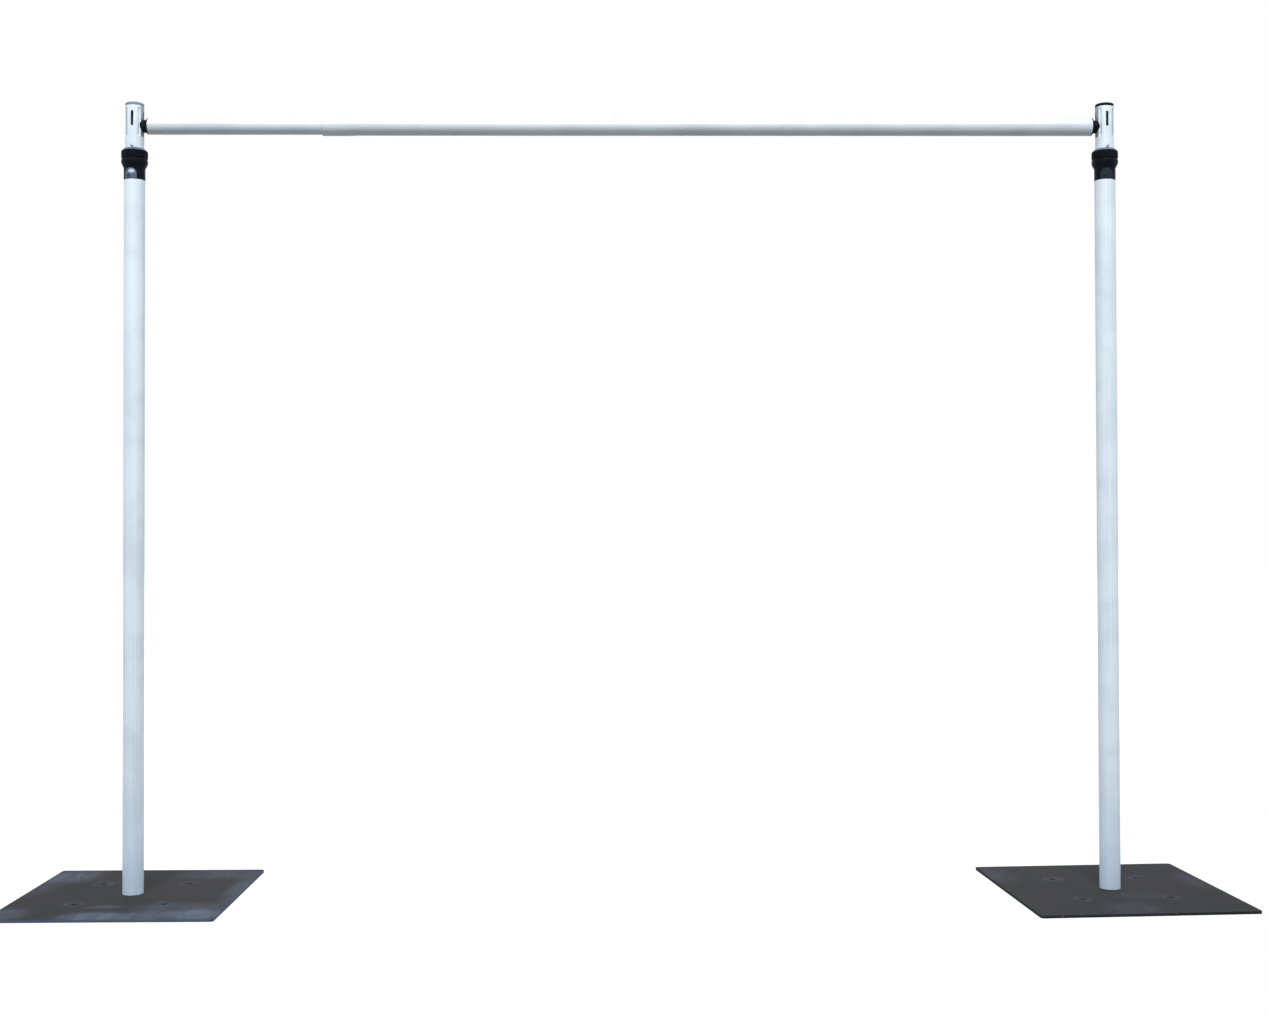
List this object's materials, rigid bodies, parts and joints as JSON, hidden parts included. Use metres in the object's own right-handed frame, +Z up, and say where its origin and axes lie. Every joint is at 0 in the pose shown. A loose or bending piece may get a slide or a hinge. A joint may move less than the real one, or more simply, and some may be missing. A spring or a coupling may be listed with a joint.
{
  "type": "pipe and drape backdrop stand",
  "caption": "Free-standing frame: telescopic uprights on square base plates hold a telescopic crossbar that hooks into slots in their heads.",
  "frame": {"origin": "on the floor, midway between the outer ends of the two base plates and on the line of the uprights", "axes": "+X along the crossbar from its thin end to its thick end, +Y from front to back, +Z up"},
  "size_m": [2.8039, 0.5278, 1.857],
  "materials": {
    "anodised_tube": "satin clear anodised",
    "plate_paint": "matt black powder coat, scuffed",
    "black_nylon": "moulded, matt",
    "grey_plastic": "moulded, satin",
    "zinc_steel": "bright zinc plated"
  },
  "bodies": {
    "left_base": {"left_base_plate": "plate_paint", "left_base_pin": "zinc_steel", "left_base_pin_bolt": "zinc_steel"},
    "left_upright": {"left_outer_tube": "anodised_tube", "left_lock_body": "black_nylon", "left_lock_collet": "grey_plastic", "left_lock_rivet": "zinc_steel"},
    "left_lock": {"left_lock_ring": "black_nylon"},
    "left_mast": {"left_inner_tube": "anodised_tube", "left_head_cap": "grey_plastic", "left_stop_rivet": "zinc_steel", "left_foot_bush": "black_nylon"},
    "right_base": {"right_base_plate": "plate_paint", "right_base_pin": "zinc_steel", "right_base_pin_bolt": "zinc_steel"},
    "right_upright": {"right_outer_tube": "anodised_tube", "right_lock_body": "black_nylon", "right_lock_collet": "grey_plastic", "right_lock_rivet": "zinc_steel"},
    "right_lock": {"right_lock_ring": "black_nylon"},
    "right_mast": {"right_inner_tube": "anodised_tube", "right_head_cap": "grey_plastic", "right_stop_rivet": "zinc_steel", "right_foot_bush": "black_nylon"},
    "bar_inner": {"bar_inner_tube": "anodised_tube", "left_end_plug": "black_nylon", "left_hook": "zinc_steel", "left_hook_pin": "zinc_steel", "left_plug_rivet": "zinc_steel", "bar_glide_bush": "black_nylon"},
    "bar_outer": {"bar_outer_tube": "anodised_tube", "right_end_plug": "black_nylon", "right_hook": "zinc_steel", "right_hook_pin": "zinc_steel", "right_plug_rivet": "zinc_steel", "bar_mouth_bush": "black_nylon"}
  },
  "joints": [
    {"name": "left_base_swivel", "type": "hinge", "parent": "left_base", "child": "left_upright", "pos_m": [-1.15196, 0, 0.006], "axis": [0, 0, 1], "continuous": true},
    {"name": "left_lock_twist", "type": "hinge", "parent": "left_upright", "child": "left_lock", "pos_m": [-1.15196, 0, 1.7248], "axis": [0, 0, 1], "range_deg": [0, 90]},
    {"name": "left_mast_slide", "type": "slide", "parent": "left_upright", "child": "left_mast", "axis": [0, 0, 1], "range_m": [0, 1.2]},
    {"name": "bar_lift", "type": "slide", "parent": "left_mast", "child": "bar_inner", "axis": [0, 0, 1], "range_m": [0, 0.02]},
    {"name": "bar_extend", "type": "slide", "parent": "bar_inner", "child": "bar_outer", "axis": [1, 0, 0], "range_m": [-0.39, 0.8]},
    {"name": "right_unhook", "type": "slide", "parent": "bar_outer", "child": "right_mast", "axis": [0, 0, -1], "range_m": [0, 0.02]},
    {"name": "right_mast_slide", "type": "slide", "parent": "right_mast", "child": "right_upright", "axis": [0, 0, -1], "range_m": [0, 1.2]},
    {"name": "right_lock_twist", "type": "hinge", "parent": "right_upright", "child": "right_lock", "pos_m": [1.13804, 0, 1.7248], "axis": [0, 0, 1], "range_deg": [0, 90]},
    {"name": "right_base_swivel", "type": "hinge", "parent": "right_upright", "child": "right_base", "pos_m": [1.13804, 0, 0.006], "axis": [0, 0, 1], "continuous": true}
  ],
  "couplings": [
    {"joint": "right_unhook", "follows": "bar_lift", "ratio": 1},
    {"joint": "right_mast_slide", "follows": "left_mast_slide", "ratio": 1}
  ]
}
